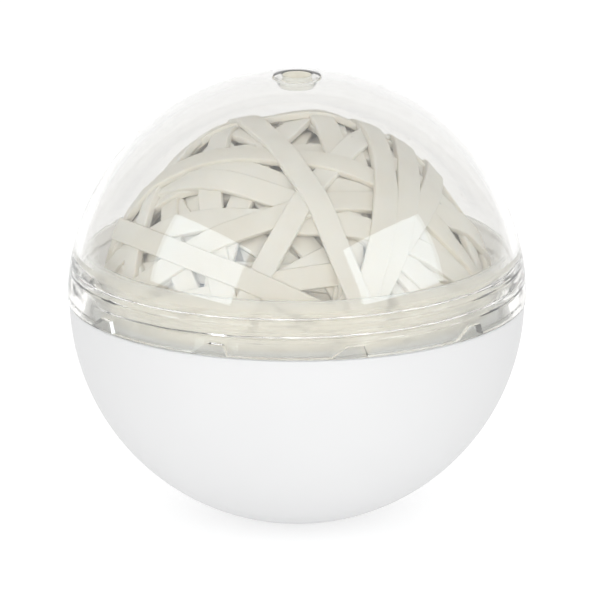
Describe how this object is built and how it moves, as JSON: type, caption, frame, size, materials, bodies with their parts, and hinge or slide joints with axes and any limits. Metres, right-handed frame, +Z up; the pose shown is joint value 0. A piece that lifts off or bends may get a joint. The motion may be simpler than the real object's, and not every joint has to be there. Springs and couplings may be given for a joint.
{
  "type": "rubber band ball in ball case",
  "caption": "Ball of flat rubber bands lying in a round desk case with an opaque bowl and a clear screw-down dome that lifts off.",
  "frame": {"origin": "middle of the flat spot that the case stands on, directly under the middle of the ball case", "axes": "+Z up through the hole in the dome, -Y towards the front"},
  "size_m": [0.076, 0.076, 0.0749],
  "materials": {
    "white_bowl": "smooth opaque white, glossy, with a cream neck",
    "clear_dome": "clear polished polystyrene with faint scratches",
    "rubber_bands": "satin off-white natural rubber"
  },
  "bodies": {
    "bowl_and_ball": {"bowl": "white_bowl", "inner_winding": "rubber_bands", "band_01": "rubber_bands", "band_02": "rubber_bands", "band_03": "rubber_bands", "band_04": "rubber_bands", "band_05": "rubber_bands", "band_06": "rubber_bands", "band_07": "rubber_bands", "band_08": "rubber_bands", "band_09": "rubber_bands", "band_10": "rubber_bands", "band_11": "rubber_bands", "band_12": "rubber_bands", "band_13": "rubber_bands", "band_14": "rubber_bands", "band_15": "rubber_bands", "band_16": "rubber_bands", "band_17": "rubber_bands", "band_18": "rubber_bands", "band_19": "rubber_bands", "band_20": "rubber_bands", "band_21": "rubber_bands", "band_22": "rubber_bands", "band_23": "rubber_bands", "band_24": "rubber_bands", "band_25": "rubber_bands", "band_26": "rubber_bands", "band_27": "rubber_bands", "band_28": "rubber_bands", "band_29": "rubber_bands", "band_30": "rubber_bands"},
    "dome_cover": {"dome": "clear_dome"}
  },
  "joints": [
    {"name": "dome_lift", "type": "slide", "parent": "bowl_and_ball", "child": "dome_cover", "axis": [0, 0, 1], "range_m": [0, 0.04]}
  ]
}
